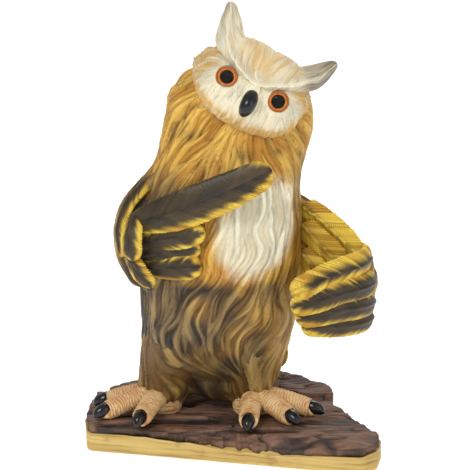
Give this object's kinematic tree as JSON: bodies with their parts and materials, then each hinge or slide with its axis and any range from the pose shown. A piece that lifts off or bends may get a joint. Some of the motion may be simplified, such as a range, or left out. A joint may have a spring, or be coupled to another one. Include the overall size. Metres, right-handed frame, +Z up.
{
  "type": "owl figurine",
  "caption": "Painted resin horned owl with a tilted head and folded wings, standing on a split-log slab.",
  "frame": {"origin": "on the slab's underside, below the middle of the owl's body", "axes": "+Z up, the owl faces -Y, its own right wing towards -X"},
  "size_m": [0.1969, 0.1543, 0.2936],
  "materials": {
    "plumage_paint": "painted polyresin, satin, ochre over umber with a pale breast",
    "face_paint": "painted polyresin, satin, cream with a grey-brown wash",
    "quill_paint": "painted polyresin, satin, dark umber feathers with golden fringes",
    "foot_skin": "painted polyresin, satin, orange-tan with cream wrinkles",
    "claw_black": "gloss black enamel",
    "eyelid": "painted polyresin, cream",
    "iris": "orange enamel behind glass",
    "pupil": "black enamel behind glass",
    "eye_glass": "clear polished glass",
    "bark": "painted polyresin, rough dark brown",
    "sawn_edge": "painted polyresin, pale straw with long grain",
    "steel_pin": "plain steel rod"
  },
  "bodies": {
    "root": {"base_bark": "bark", "base_slab": "sawn_edge", "beak": "claw_black", "claw_left_inner": "claw_black", "claw_left_middle": "claw_black", "claw_left_outer": "claw_black", "claw_right_inner": "claw_black", "claw_right_middle": "claw_black", "claw_right_outer": "claw_black", "crest": "face_paint", "ear_tuft_left": "face_paint", "ear_tuft_right": "face_paint", "eyelid_left": "eyelid", "eyelid_right": "eyelid", "face_mask": "face_paint", "foot_left": "foot_skin", "foot_right": "foot_skin", "head": "plumage_paint", "iris_left": "iris", "iris_right": "iris", "leg_left": "plumage_paint", "leg_pins": "steel_pin", "leg_right": "plumage_paint", "lens_left": "eye_glass", "lens_right": "eye_glass", "neck_dowel": "steel_pin", "pupil_left": "pupil", "pupil_right": "pupil", "tail_feather_1": "quill_paint", "tail_feather_2": "quill_paint", "tail_feather_3": "quill_paint", "tail_feather_4": "quill_paint", "tail_feather_5": "quill_paint", "toe_left_inner": "foot_skin", "toe_left_middle": "foot_skin", "toe_left_outer": "foot_skin", "toe_right_inner": "foot_skin", "toe_right_middle": "foot_skin", "toe_right_outer": "foot_skin", "torso": "plumage_paint", "wing_left_arm": "plumage_paint", "wing_left_covert_1": "quill_paint", "wing_left_covert_2": "quill_paint", "wing_left_covert_3": "quill_paint", "wing_left_dowel": "steel_pin", "wing_left_primary_1": "quill_paint", "wing_left_primary_2": "quill_paint", "wing_left_primary_3": "quill_paint", "wing_left_primary_4": "quill_paint", "wing_left_wrist": "quill_paint", "wing_right_alula_1": "quill_paint", "wing_right_alula_2": "quill_paint", "wing_right_arm": "plumage_paint", "wing_right_covert_1": "quill_paint", "wing_right_covert_2": "quill_paint", "wing_right_dowel": "steel_pin", "wing_right_primary_1": "quill_paint", "wing_right_primary_2": "quill_paint", "wing_right_primary_3": "quill_paint", "wing_right_primary_4": "quill_paint"}
  },
  "joints": []
}
